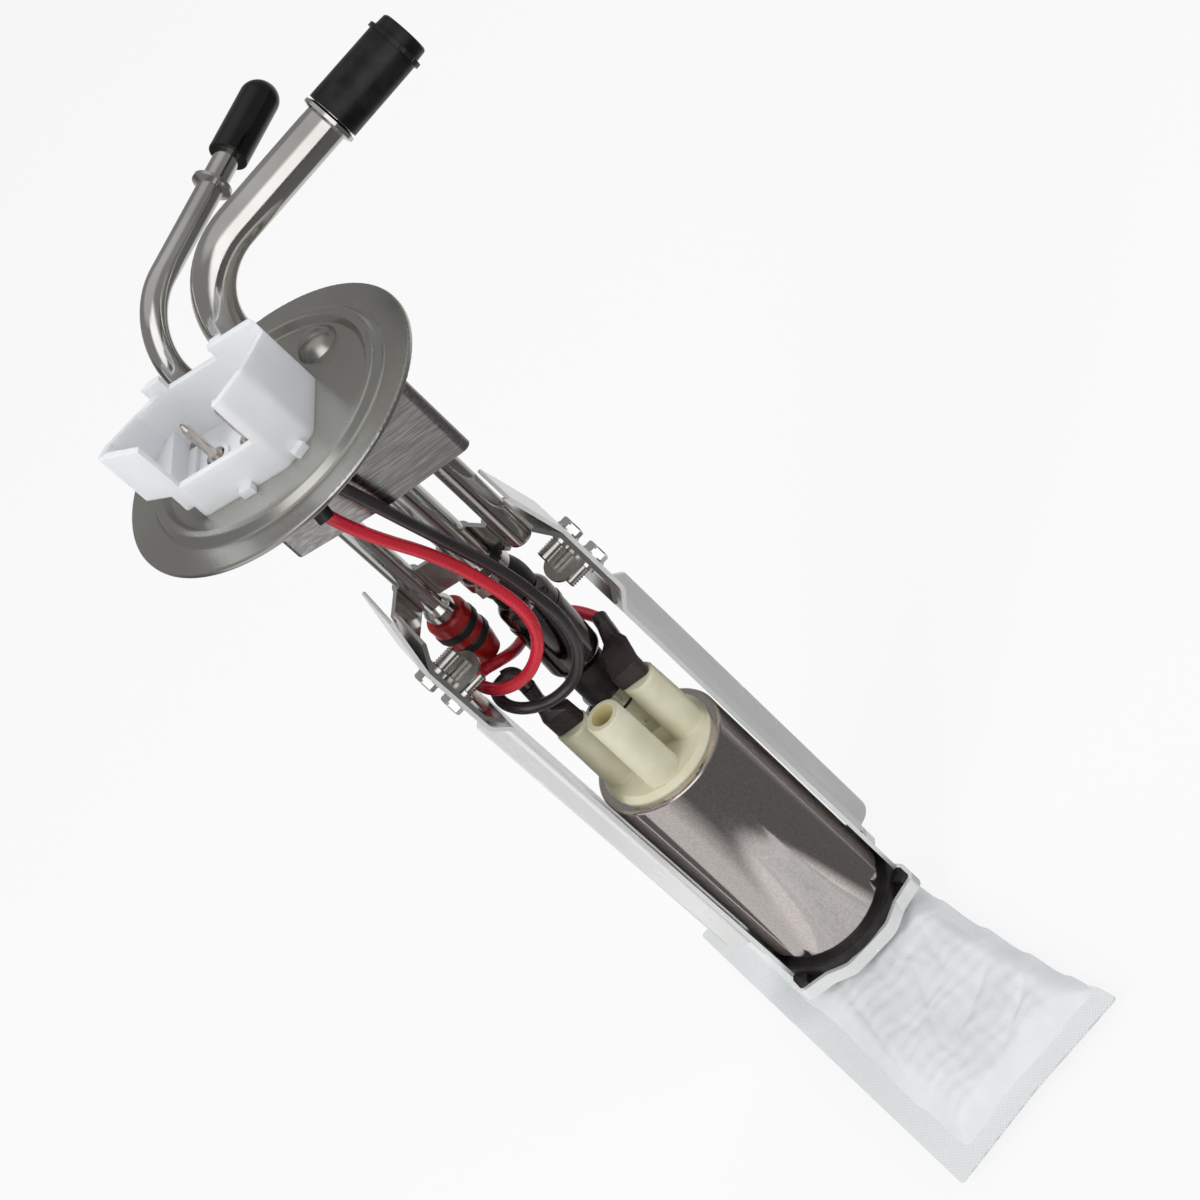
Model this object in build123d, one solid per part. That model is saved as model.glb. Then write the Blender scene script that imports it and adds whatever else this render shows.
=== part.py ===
from build123d import *
from math import sin, cos, tan, atan2, radians, degrees, pi, sqrt
import os

# Fuel pump module. Millimetres, +Z up. The origin is the centre of the flange on its
# underside, the face that seals on the tank. X runs across the two bracket arms.

SHEET = 1.5
FLANGE_R = 41
BEAD_R = 31.3
BEAD_TOP = 3.5
UNDERSIDE = 0.2
DOME_R = 5.85
ROD_X, ROD_Y, ROD_R = 21.1, 9.0, 3.5
ROD_TOP = 2.2
ROD_BOTTOM = -76.5

SUPPLY_X, SUPPLY_Y = 9.3, 15.0
SUPPLY_R = 5.25
SUPPLY_LOW_R = 4.25
SUPPLY_RUN_Z = 33.0
SUPPLY_TILT = 2.5
SUPPLY_END = -80.2
RETURN_X, RETURN_Y = -5.8, 18.0
RETURN_R = 3.2
RETURN_RUN_Z = 32.9
RETURN_AZIMUTH = 31.0
RETURN_END = -89.0
NOZZLE_TOP = -81.0

PLUG_ANGLE = -28.0
PIN_1 = (-11.8, -5.3)
PIN_2 = (-2.0, -5.6)
PIN_R = 1.2
GROMMET_R = 2.6
SHELL_FLOOR = 4.5

PUMP_X, PUMP_Y = 5.5, 0.0
CAN_R = 19.05
CAN_WALL = 1.0
CAN_BOTTOM = -226.5
CAN_H = 80.9
LIP_R = 16.6
CAP_ANGLE = -17.0
CLAMP_SHEET = 1.2
STRAP = 1.1
STRAP_FACE = 23.05
ARM_FACE = 19.4
ARM_HALF = 9.0
SCREW_LEVELS = (-78.8, -89.1)
SCREW_R = 2.0
SCREW_PITCH = 0.75
CRADLE_BOTTOM = -230.5
CRADLE_TOP = -226.0
NIPPLE_Y = -4.0
LEAD_R = 1.6

SHAFT_R = 2.0
IMPELLER_R = 14.9
VANES = 26
ARMATURE_SLOTS = 8

os.makedirs("parts", exist_ok=True)


def save(shape, name):
    shape.label = name
    export_step(shape, f"parts/{name}.step")


def face_of(points, radii=0):
    """flat face inside a closed outline, its corners rounded"""
    if radii == 0:
        return make_face(Polyline(*points, close=True))
    return make_face(FilletPolyline(*points, radius=radii, close=True))


def turned(points, radii=0, x=0, y=0):
    """solid turned about a vertical axis from (radius, height) points"""
    section = Plane.XZ * face_of(points, radii)
    return Pos(x, y, 0) * revolve(section, Axis.Z)


def rod(radius, low, high, x=0, y=0):
    return Pos(x, y, low) * Cylinder(radius, high - low, align=(Align.CENTER, Align.CENTER, Align.MIN))


def ring(outer, inner, low, high, x=0, y=0):
    return rod(outer, low, high, x, y) - rod(inner, low, high, x, y)


def block(x0, x1, y0, y1, z0, z1):
    return Pos(x0, y0, z0) * Box(x1 - x0, y1 - y0, z1 - z0, align=Align.MIN)


def strip(points, thickness, radius):
    """sheet-metal section: a bent centre line given its thickness"""
    line = FilletPolyline(*points, radius=radius) if len(points) > 2 else Line(*points)
    return make_face(offset(line, thickness / 2, side=Side.BOTH))


def piped(points, radius, bends):
    """round bar along straight runs joined by arcs"""
    path = FilletPolyline(*points, radius=bends) if len(points) > 2 else Line(*points)
    start = Plane(origin=path @ 0, z_dir=path % 0)
    return sweep(start * Circle(radius), path=path)


def mirrored(shape):
    """the same thing on the other side of the pump's axis"""
    return Pos(2 * PUMP_X, 0, 0) * mirror(shape, Plane.YZ)


def plug_frame():
    return Rot(0, 0, PLUG_ANGLE)


def plug_point(u, v):
    a = radians(PLUG_ANGLE)
    return u * cos(a) - v * sin(a), u * sin(a) + v * cos(a)


def cap_point(across, along):
    """point on the pump cap: across the terminals, and towards the outlet"""
    a = radians(CAP_ANGLE)
    return PUMP_X + across * cos(a) - along * sin(a), PUMP_Y + across * sin(a) + along * cos(a)


# ---------- flange and what is brazed to it ----------

def flange():
    """stamped disc with a raised ring, a dome over the rod, and holes for tubes and pins"""
    top = SHEET
    section = [(0, top), (BEAD_R - 2.5, top), (BEAD_R - 1.0, BEAD_TOP), (BEAD_R + 1.0, BEAD_TOP),
               (BEAD_R + 2.5, top), (FLANGE_R, top), (FLANGE_R, 0), (BEAD_R + 1.6, 0),
               (BEAD_R + 0.5, BEAD_TOP - SHEET - 0.2), (BEAD_R - 0.5, BEAD_TOP - SHEET - 0.2),
               (BEAD_R - 1.6, UNDERSIDE), (0, UNDERSIDE)]
    disc = revolve(Plane.XZ * face_of(section), Axis.Z)
    ridge = disc.edges().filter_by(GeomType.CIRCLE)
    crest = [e for e in ridge if abs(e.radius - BEAD_R) < 1.2 and e.center().Z > BEAD_TOP - 0.1]
    disc = fillet(crest, 0.75)
    ridge = disc.edges().filter_by(GeomType.CIRCLE)
    disc = fillet([e for e in ridge if abs(abs(e.radius - BEAD_R) - 2.5) < 0.1 and e.center().Z > 1.4], 0.9)
    ridge = disc.edges().filter_by(GeomType.CIRCLE)
    disc = fillet([e for e in ridge if e.radius > FLANGE_R - 0.1], 0.5)
    ball = Pos(ROD_X, ROD_Y, SHEET + 3.6 - DOME_R) * Sphere(DOME_R)
    disc += ball & rod(DOME_R + 1, 0.4, 8, ROD_X, ROD_Y)
    disc -= rod(ROD_R, -1, ROD_TOP, ROD_X, ROD_Y)
    disc -= rod(SUPPLY_R, -1, 3, SUPPLY_X, SUPPLY_Y)
    disc -= rod(RETURN_R, -1, 3, RETURN_X, RETURN_Y)
    for u, v in (PIN_1, PIN_2):
        x, y = plug_point(u, v)
        disc -= rod(GROMMET_R, -1, 3, x, y)
    return disc


def supply_run():
    """frame at the start of the supply tube's upper run, its Z along the run"""
    a = radians(SUPPLY_TILT)
    return Plane(origin=(SUPPLY_X, SUPPLY_Y, SUPPLY_RUN_Z), x_dir=(0, 1, 0), z_dir=(cos(a), 0, sin(a)))


def return_run():
    """frame at the start of the return tube's upper run, its Z along the run"""
    a = radians(RETURN_AZIMUTH)
    return Plane(origin=(RETURN_X, RETURN_Y, RETURN_RUN_Z), x_dir=(0, 0, 1), z_dir=(cos(a), sin(a), 0))


def along(frame, distance):
    return frame.origin + frame.z_dir * distance


def tube_bead(radius, bead, width):
    """rolled bead round a tube, section rounded, centred on the frame's origin"""
    half = width / 2
    outline = [(radius - 0.3, -half - 0.6), (radius, -half - 0.6), (bead, -half), (bead, half),
               (radius, half + 0.6), (radius - 0.3, half + 0.6)]
    return revolve(Plane.XZ * face_of(outline), Axis.Z)


SUPPLY_BEAD = 50.2
SUPPLY_TUBE_LEN = 69.0
RETURN_BEAD = 43.0
RETURN_TUBE_LEN = 68.5


def supply_tube():
    """bent steel tube, beaded for a hose, swaged smaller below the flange"""
    frame = supply_run()
    wall = 0.9
    neck_top, neck_low = -2.5, -6.0
    points = [(SUPPLY_X, SUPPLY_Y, neck_top), (SUPPLY_X, SUPPLY_Y, SUPPLY_RUN_Z),
              along(frame, SUPPLY_TUBE_LEN)]
    body = piped(points, SUPPLY_R, 19.5)
    neck = [(0, neck_top), (SUPPLY_R, neck_top), (SUPPLY_LOW_R, neck_low), (SUPPLY_LOW_R, SUPPLY_END),
            (0, SUPPLY_END)]
    body += turned(neck, 0, SUPPLY_X, SUPPLY_Y)
    body += frame * Pos(0, 0, SUPPLY_BEAD) * tube_bead(SUPPLY_R, 7.0, 0.9)
    body -= piped(points, SUPPLY_R - wall, 19.5)
    bore = [(0, neck_top + 0.01), (SUPPLY_R - wall, neck_top + 0.01), (SUPPLY_R - wall, neck_top),
            (SUPPLY_LOW_R - wall, neck_low), (SUPPLY_LOW_R - wall, SUPPLY_END - 1), (0, SUPPLY_END - 1)]
    return body - turned(bore, 0, SUPPLY_X, SUPPLY_Y)


def return_tube():
    """smaller bent steel tube, beaded near its open end"""
    frame = return_run()
    points = [(RETURN_X, RETURN_Y, RETURN_END), (RETURN_X, RETURN_Y, RETURN_RUN_Z),
              along(frame, RETURN_TUBE_LEN)]
    body = piped(points, RETURN_R, 16.5)
    body += frame * Pos(0, 0, RETURN_BEAD) * tube_bead(RETURN_R, 4.9, 0.9)
    flare = [(RETURN_R - 0.4, -76.2), (RETURN_R, -76.2), (4.1, -78.2), (4.2, -80.5), (3.9, NOZZLE_TOP),
             (RETURN_R - 0.4, NOZZLE_TOP)]
    body += turned(flare, 0, RETURN_X, RETURN_Y)
    return body - piped(points, RETURN_R - 0.8, 16.5)


def support_rod():
    """solid rod from the dome down to the rod bracket"""
    body = rod(ROD_R, ROD_BOTTOM, ROD_TOP, ROD_X, ROD_Y)
    return fillet(body.edges().filter_by(GeomType.CIRCLE).sort_by(Axis.Z)[0], 1.2)


def support_channel():
    """bent web under the flange, notched for the leads, with turned-back weld tabs"""
    plan = [(-14.2, -8.3), (-14.2, -10.6), (12.5, -10.4), (35.0, -7.2), (35.0, -5.6)]
    web = extrude(Pos(0, 0, UNDERSIDE) * strip(plan, CLAMP_SHEET, [1.6, 8.0, 1.4]), -27.0 - UNDERSIDE)
    notch = extrude(Pos(4.0, -10.5, UNDERSIDE) * Rectangle(17, 5), -12.0 - UNDERSIDE)
    notch = fillet(notch.edges().filter_by(Axis.Y).group_by(Axis.Z)[0], 3.0)
    web -= notch
    web += block(-13.0, -5.0, -14.6, -10.0, -CLAMP_SHEET, UNDERSIDE)
    web += block(16.0, 29.5, -9.0, -2.6, -CLAMP_SHEET, UNDERSIDE)
    web -= ring(60, 31.8, -2.6, 1)
    return plug_frame() * web


# ---------- electrical connector ----------

def connector_shell():
    """nylon shroud: low front, tall corners, stepped back wall, and a wing over the raised ring"""
    outer = [(-28.4, -12.7), (-16, -19), (7, -19), (14, -12.7), (14.2, 8), (-17.0, 8), (-23.4, 2.6),
             (-27.0, -4.4), (-28.6, -6.4)]
    wall = 1.7
    outline = face_of(outer, [0.8, 1.5, 3.5, 3.5, 3.0, 4.0, 4.0, 1.0, 0.6])
    inner = offset(outline, -wall)
    body = extrude(Pos(0, 0, SHEET) * outline, 24.0)
    body -= extrude(Pos(0, 0, SHELL_FLOOR) * inner, 30.0)
    wing = block(-30, -20.5, -22, 10, 0, 9.5)
    body -= wing
    step = block(-30, -17.5, -22, 10, 0, 5.5)
    body -= step
    shelf = extrude(Pos(0, 0, 9.5) * (inner & (Pos(-26, -8) * Rectangle(11, 30))), 1.6)
    body += shelf
    partition = extrude(Pos(0, 0, 5.5) * (inner & (Pos(-20.5, -6) * Rectangle(1.6, 30))), 5.6)
    body += partition
    body += block(-20.6, -17.4, -17.0, 1.5, 4.2, 5.8) & extrude(outline, 10)
    body -= block(-16, 5.2, -22, -14, 12.0, 40)
    slope = Plane.YZ * face_of([(-12.5, 25.5), (-12.5, 40), (20, 40), (20, 23.0), (6.2, 23.0), (6.2, 20.0),
                                (4.5, 20.0)])
    body -= Pos(-40, 0, 0) * extrude(slope, 80)
    body -= block(-14, 0.5, 3, 12, 19.5, 40)
    body += block(1.0, 4.2, 7.6, 9.2, 14.0, 23.0)
    for u, v, turn in ((10.6, -16.6, 42), (-4.0, -19.6, 0)):
        body += Pos(u, v, SHEET + 1.1) * Rot(0, 0, turn) * Box(3.4, 3.0, 2.2)
    for u, v in (PIN_1, PIN_2):
        body -= rod(GROMMET_R, 0, 8, u, v)
        body += ring(3.6, GROMMET_R, SHELL_FLOOR - 0.1, SHELL_FLOOR + 0.8, u, v)
    return plug_frame() * body


def connector_pins():
    """two round pins with collars, tapered tips"""
    pins = []
    for u, v in (PIN_1, PIN_2):
        outline = [(0, -3.6), (PIN_R, -3.6), (PIN_R, 4.5), (2.0, 4.5), (2.0, 5.3), (PIN_R, 5.3),
                   (PIN_R, 15.4), (0.45, 17.0), (0, 17.0)]
        pins.append(plug_frame() * turned(outline, 0, u, v))
    return Compound(children=pins)


def pin_grommets():
    """sleeve seals that carry the pins through the flange"""
    seals = []
    for u, v in (PIN_1, PIN_2):
        outline = [(PIN_R, -1.4), (2.9, -1.4), (2.9, UNDERSIDE), (GROMMET_R, UNDERSIDE), (GROMMET_R, 4.5),
                   (PIN_R, 4.5)]
        seals.append(plug_frame() * turned(outline, 0, u, v))
    return Compound(children=seals)


RED_EXIT = (-7.9, -6.95)
RED_LEVEL = -9.3
BLACK_EXIT = (0.6, -8.3)
BLACK_LEVEL = -5.0


def elbow_sleeve(pin, leave, level):
    """moulded elbow that turns a lead from its pin towards the notch"""
    x, y = plug_point(*pin)
    ex, ey = plug_point(*leave)
    path = [(x, y, -1.5), (x, y, level), (ex, ey, level)]
    bend = 2.4
    body = piped(path, 2.25, bend)
    collar = (body & rod(2.2, -3.6, -1.4, x, y)) - rod(PIN_R, -3.6, -1.4, x, y)
    return body - piped(path, LEAD_R + 0.25, bend) + collar


def lead_sleeves():
    return Compound(children=[elbow_sleeve(PIN_1, RED_EXIT, RED_LEVEL),
                              elbow_sleeve(PIN_2, BLACK_EXIT, BLACK_LEVEL)])


# ---------- brackets ----------

def saddle(x, y, radius):
    """half-round wrap behind one upright tube or rod"""
    wrap = Circle(radius + CLAMP_SHEET) - Circle(radius)
    return Pos(x, y) * (wrap & (Pos(0, 10) * Rectangle(30, 20)))


def link(x0, y0, x1, y1):
    """straight piece of sheet between two saddles"""
    length = sqrt((x1 - x0) ** 2 + (y1 - y0) ** 2)
    turn = degrees(atan2(y1 - y0, x1 - x0))
    return Pos((x0 + x1) / 2, (y0 + y1) / 2) * Rot(0, 0, turn) * Rectangle(length + 1.0, CLAMP_SHEET)


def rod_bracket():
    """sheet saddle brazed to the rod and both tubes, with an ear at each side for the screws"""
    half = CLAMP_SHEET / 2
    web = saddle(ROD_X, ROD_Y, ROD_R) + saddle(SUPPLY_X, SUPPLY_Y, SUPPLY_LOW_R)
    web += saddle(RETURN_X, RETURN_Y, RETURN_R)
    web += link(ROD_X - ROD_R - half, ROD_Y, SUPPLY_X + SUPPLY_LOW_R + half, SUPPLY_Y)
    web += link(SUPPLY_X - SUPPLY_LOW_R - half, SUPPLY_Y, RETURN_X + RETURN_R + half, RETURN_Y)
    web += link(ROD_X + ROD_R + half, ROD_Y, PUMP_X + 21.6, ARM_HALF - half)
    web += link(RETURN_X - RETURN_R - half, RETURN_Y, PUMP_X - 21.6, ARM_HALF - half)
    band = extrude(Pos(0, 0, -76.0) * web, 10.0)
    band -= rod(ROD_R, -90, -60, ROD_X, ROD_Y)
    band -= rod(SUPPLY_LOW_R, -90, -60, SUPPLY_X, SUPPLY_Y)
    band -= rod(RETURN_R, -90, -60, RETURN_X, RETURN_Y)
    outer = PUMP_X + STRAP_FACE
    line = [(outer - 4.2, -65.0), (outer - half, -72.0), (outer - half, -92.5), (outer - 3.2, -97.2)]
    ear = extrude(Plane.XZ * strip(line, CLAMP_SHEET, 3.0), ARM_HALF, both=True)
    tab = Cylinder(4.0, CLAMP_SHEET) + Pos(2.7, 0, 0) * Box(5.9, 8.0, CLAMP_SHEET)
    ear += Pos(outer - CLAMP_SHEET - 5.0, 0, -84.1) * Rot(28, 0, 0) * tab
    for level in SCREW_LEVELS:
        boss = Pos(outer - CLAMP_SHEET - 0.25, 0, level) * Rot(0, 90, 0) * Cylinder(2.8, 1.1)
        ear += boss
        ear -= Pos(outer, 0, level) * Rot(0, 90, 0) * Cylinder(SCREW_R, 20)
    beyond = [(outer - 3.7, -64), (outer - 0.1, -71.4), (outer - 0.1, -80), (outer + 20, -80), (outer + 20, -64)]
    beyond = extrude(Plane.XZ * face_of(beyond), 30, both=True)
    band -= beyond + mirrored(beyond)
    return band + (ear + mirrored(ear) - rod(ROD_R, -90, -60, ROD_X, ROD_Y))


CRADLE_QUADRANT = [(20.5, 7.4), (22.0, 9.8), (22.0, 15.6), (13.3, 18.0), (7.6, 21.6)]


def cradle_outline(shrink=0.0):
    """eared cup outline, the same in all four quarters"""
    points = list(CRADLE_QUADRANT)
    bends = [1.0, 1.4, 2.2, 2.4, 6.0]
    points += [(-x, y) for x, y in reversed(points)]
    points += [(x, -y) for x, y in reversed(points)]
    bends += reversed(bends)
    outline = face_of(points, bends + bends)
    if shrink:
        outline = offset(outline, -shrink)
    return outline


def pump_bracket():
    """one sheet: two cranked arms with flared back edges, and the eared cradle between them"""
    half = STRAP / 2
    knee = STRAP_FACE + half
    line = [(PUMP_X + knee - 3.4, -54.3), (PUMP_X + knee, -71.8), (PUMP_X + knee, -96.2),
            (PUMP_X + ARM_FACE + half, -100.8), (PUMP_X + ARM_FACE + half, CRADLE_TOP - 2.0)]
    arm = extrude(Plane.XZ * strip(line, STRAP, [4.0, 4.0, 3.0]), ARM_HALF, both=True)
    ends = [(PUMP_X + ARM_FACE + half, ARM_HALF - half), (PUMP_X + 22.2, ARM_HALF + 1.5),
            (PUMP_X + 26.4, ARM_HALF + 2.3)]
    flare = extrude(Pos(0, 0, -223.5) * strip(ends, STRAP, 2.5), 121.0)
    corner = Pos(PUMP_X + 26.9, -223.5) * (Rectangle(9.0, 9.0) - Pos(-4.5, 4.5) * Circle(4.5))
    flare -= extrude(Plane.XZ * corner, 30, both=True) & block(PUMP_X + 22.4, 60, 0, 20, -230, -219.0)
    top_trim = Plane.XZ * face_of([(PUMP_X + 21.5, -102.4), (PUMP_X + 28, -102.4), (PUMP_X + 28, -109)])
    flare -= extrude(top_trim, 30, both=True)
    arm += flare
    for level in SCREW_LEVELS:
        arm -= Pos(PUMP_X + knee, 0, level) * Rot(0, 90, 0) * Cylinder(SCREW_R, 6)
    arms = arm + mirrored(arm)
    cup = extrude(Pos(PUMP_X, PUMP_Y, CRADLE_BOTTOM) * cradle_outline(), CRADLE_TOP - CRADLE_BOTTOM)
    pocket = extrude(Pos(PUMP_X, PUMP_Y, CRADLE_BOTTOM + 1.0) * cradle_outline(STRAP), 10)
    arms -= pocket & block(-60, 60, -30, 30, -230, CRADLE_TOP)
    cup -= pocket
    cup -= rod(13.0, -240, -220, PUMP_X, PUMP_Y + NIPPLE_Y)
    return arms + cup


def slotted_screw(level, side):
    """hex screw with a slot, shank through both sheets"""
    face = STRAP_FACE + STRAP
    head = extrude(RegularPolygon(2.75 / cos(pi / 6), 6), 2.6)
    rim = head.edges().group_by(Axis.Z)[-1]
    head = chamfer(rim, 0.35)
    head += Cylinder(3.4, 0.5, align=(Align.CENTER, Align.CENTER, Align.MIN))
    head -= Pos(0, 0, 2.4) * Box(8, 0.8, 1.6)
    outline = [(0, 0), (SCREW_R, 0), (SCREW_R, -2.5)]
    for ridge in range(8):
        groove = -2.5 - SCREW_PITCH * (ridge + 0.5)
        outline += [(SCREW_R - 0.4, groove), (SCREW_R, groove - SCREW_PITCH / 2)]
    outline += [(1.3, groove - SCREW_PITCH), (0, groove - SCREW_PITCH)]
    shank = revolve(Plane.XZ * face_of(outline), Axis.Z)
    turn = Rot(0, 90 * side, 0)
    return Pos(PUMP_X + side * face, 0, level) * turn * Rot(0, 0, 35 * side) * (head + shank)


def bracket_screws():
    return Compound(children=[slotted_screw(level, side) for level in SCREW_LEVELS for side in (1, -1)])


# ---------- fuel line between the pump and the supply tube ----------

HOSE_TOP = -76.6
DAMPER_TOP = Vector(11.0, 14.3, -85.2)
OUTLET_X, OUTLET_Y = cap_point(0, 9.0)
DAMPER_FOOT = Vector(OUTLET_X, OUTLET_Y, -121.0)


def damper_frame():
    return Plane(origin=DAMPER_TOP, x_dir=(1, 0, 0), z_dir=DAMPER_FOOT - DAMPER_TOP)


def supply_hose():
    """short moulded hose from the supply tube to the damper"""
    line = damper_frame().z_dir
    points = [(SUPPLY_X, SUPPLY_Y, HOSE_TOP), (SUPPLY_X, SUPPLY_Y, -80.6), DAMPER_TOP,
              DAMPER_TOP + line * 4.0]
    bends = [8.0, 7.0]
    return piped(points, 6.0, bends) - piped(points, SUPPLY_LOW_R, bends)


def pulsation_damper():
    """sealed round body with a nipple at each end"""
    length = (DAMPER_FOOT - DAMPER_TOP).length
    outline = [(2.2, 1.6), (SUPPLY_LOW_R, 1.6), (SUPPLY_LOW_R, 4.2), (7.6, 4.2), (7.6, length - 6.0),
               (4.0, length - 6.0), (4.0, length - 1.6), (2.2, length - 1.6)]
    body = revolve(Plane.XZ * face_of(outline), Axis.Z)
    edges = [e for e in body.edges().filter_by(GeomType.CIRCLE) if abs(e.radius - 7.6) < 0.01]
    body = fillet(edges, 3.2)
    body += Pos(0, 0, 12.0) * (Cylinder(7.85, 1.2) - Cylinder(5.0, 1.2))
    return damper_frame() * body


def outlet_hose():
    """short hose from the pump's outlet up to the damper"""
    line = damper_frame().z_dir
    points = [(OUTLET_X, OUTLET_Y, -131.0), DAMPER_FOOT, DAMPER_FOOT - line * 5.6]
    return piped(points, 5.9, 6.0) - piped(points, 4.0, 6.0)


def crimp_ring(radius, width):
    """crimped band with its pinched ear"""
    band = Cylinder(radius + 0.7, width) - Cylinder(radius, width)
    ear = Pos(0, radius + 1.7, 0) * (Box(3.0, 2.4, width) - Pos(0, -0.3, 0) * Box(1.6, 2.0, width))
    return band + (ear - Cylinder(radius, width))


def hose_clamps():
    upper = Pos(SUPPLY_X, SUPPLY_Y, -78.4) * Rot(0, 0, 150) * crimp_ring(6.0, 3.0)
    lower = Pos(OUTLET_X, OUTLET_Y, -127.2) * Rot(0, 0, 120) * crimp_ring(5.9, 4.6)
    return Compound(children=[upper, lower])


def return_nozzle():
    """red plastic end of the return line, grooved for two seals and tapering to its jet"""
    outline = [(RETURN_R, NOZZLE_TOP), (5.4, NOZZLE_TOP), (5.8, -81.7), (5.8, -84.6), (4.9, -84.6),
               (4.9, -87.2), (5.7, -87.2), (5.6, -89.6), (4.7, -89.6), (4.7, -92.2), (5.5, -92.2),
               (5.0, -95.0), (4.2, -98.5), (1.3, -98.5), (1.3, -92.0), (RETURN_R, RETURN_END)]
    return turned(outline, 0, RETURN_X, RETURN_Y)


def nozzle_seals():
    bands = []
    for inner, outer, low in ((4.9, 6.1, -87.2), (4.7, 5.9, -92.2)):
        outline = [(inner, low), (outer - 0.3, low), (outer, low + 0.5), (outer, low + 2.1),
                   (outer - 0.3, low + 2.6), (inner, low + 2.6)]
        bands.append(turned(outline, 0, RETURN_X, RETURN_Y))
    return Compound(children=bands)


# ---------- pump: can and end pieces (heights above the can's bottom) ----------

def at_pump(shape, height=0.0):
    return Pos(PUMP_X, PUMP_Y, CAN_BOTTOM + height) * shape


def pump_can():
    """drawn steel tube with both ends rolled in over the end pieces"""
    outline = [(LIP_R, 0), (CAN_R, 0), (CAN_R, CAN_H), (LIP_R, CAN_H), (LIP_R, CAN_H - CAN_WALL),
               (CAN_R - CAN_WALL, CAN_H - CAN_WALL), (CAN_R - CAN_WALL, CAN_WALL), (LIP_R, CAN_WALL)]
    body = revolve(Plane.XZ * face_of(outline), Axis.Z)
    rims = [e for e in body.edges().filter_by(GeomType.CIRCLE) if abs(e.radius - CAN_R) < 0.01]
    return at_pump(fillet(rims, 0.9))


TOWER = 10.6
BRUSH = 8.4
BRUSH_SIDE = 4.4
COMM_TOP = 61.5


def terminal_blade(side, low, high):
    """flat blade standing in a tower"""
    x = side * TOWER
    return block(x - 2.0, x + 2.0, -0.4, 0.4, low, high)


def pump_cap():
    """moulded end cap: terminal towers, outlet, brush boxes and the upper bearing's seat"""
    inside = CAN_R - CAN_WALL
    outline = [(0, 71.5), (inside, 71.5), (inside, CAN_H - CAN_WALL), (LIP_R, CAN_H - CAN_WALL),
               (LIP_R, CAN_H + 0.6), (LIP_R - 1.4, CAN_H + 2.0), (0, CAN_H + 2.0)]
    body = revolve(Plane.XZ * face_of(outline), Axis.Z)
    body += ring(inside, inside - 1.4, 60.5, 72.0)
    body += rod(6.0, 65.0, 72.0)
    deck = CAN_H + 1.5
    top = -CAN_BOTTOM
    for side in (1, -1):
        tower = [(0, deck), (5.7, deck), (5.2, deck + 1.2), (4.8, top - 122.8), (4.2, top - 122.0),
                 (0, top - 122.0)]
        body += turned(tower, 0, side * TOWER, 0)
        body += block(side * BRUSH - 3.6, side * BRUSH + 3.6, -3.6, 3.6, 63.0, 72.0)
    vent = [(0, deck), (5.6, deck), (5.2, deck + 1.0), (5.0, top - 118.4), (4.6, top - 118.0), (0, top - 118.0)]
    body += turned(vent, 0, 0, -9.5)
    outlet = [(0, deck), (4.9, deck), (4.4, deck + 1.0), (4.0, deck + 1.6), (4.0, top - 124.6),
              (3.4, top - 124.0), (0, top - 124.0)]
    body += turned(outlet, 0, 0, 9.0)
    body += block(-TOWER, TOWER, -2.2, 2.2, deck, deck + 6.0)
    body += block(-1.6, 1.6, -9.5, 5.2, deck, deck + 4.5)
    body -= rod(3.25, deck + 2.0, top - 117, 0, -9.5)
    body -= rod(SHAFT_R + 0.5, 60, 75.0)
    body -= rod(3.6, 64.0, 70.5)
    body -= rod(1.5, 70.0, CAN_H + 5.5, 0, 9.0)
    body -= rod(2.6, CAN_H + 5.5, top - 123, 0, 9.0)
    half = BRUSH_SIDE / 2
    for side in (1, -1):
        body -= block(side * BRUSH - half, side * BRUSH + half, -half, half, 60.0, 79.0)
        body -= terminal_blade(side, 78.0, top - 120)
    return at_pump(Rot(0, 0, CAP_ANGLE) * body)


def pump_terminals():
    """blade terminals standing in the towers"""
    top = -CAN_BOTTOM
    blades = []
    for side in (1, -1):
        blades.append(at_pump(Rot(0, 0, CAP_ANGLE) * terminal_blade(side, 79.0, top - 119.0)))
    return Compound(children=blades)


def brushes():
    half = BRUSH_SIDE / 2 - 0.05
    pair = []
    for side in (1, -1):
        block_shape = block(side * BRUSH - half, side * BRUSH + half, -half, half, COMM_TOP + 0.05, 70.5)
        pair.append(at_pump(Rot(0, 0, CAP_ANGLE) * block_shape))
    return Compound(children=pair)


def coil(radius, wire, low, high, turns):
    """helical spring of square wire standing on Z; wire is half its side"""
    height = high - low - 2.4 * wire
    path = Helix(pitch=height / turns, height=height, radius=radius)
    start = Plane(origin=path @ 0, x_dir=(1, 0, 0), z_dir=path % 0)
    return Pos(0, 0, low + 1.2 * wire) * sweep(start * Rectangle(2 * wire, 2 * wire), path=path, is_frenet=True)


def brush_springs():
    pair = []
    for side in (1, -1):
        spring = Pos(side * BRUSH, 0) * coil(1.5, 0.25, 70.6, 78.9, 5)
        pair.append(at_pump(Rot(0, 0, CAP_ANGLE) * spring))
    return Compound(children=pair)


def field_magnets():
    """two ferrite arcs"""
    arcs = []
    for side in (0, 180):
        shell = ring(16.9, 13.9, 26, 58)
        gap = Rot(0, 0, side) * block(-20, 20, -20, 4.9, 20, 60)
        arcs.append(at_pump(Rot(0, 0, CAP_ANGLE) * (shell - gap)))
    return Compound(children=arcs)


def flux_ring():
    return at_pump(ring(CAN_R - CAN_WALL, 16.9, 24, 60))


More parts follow.
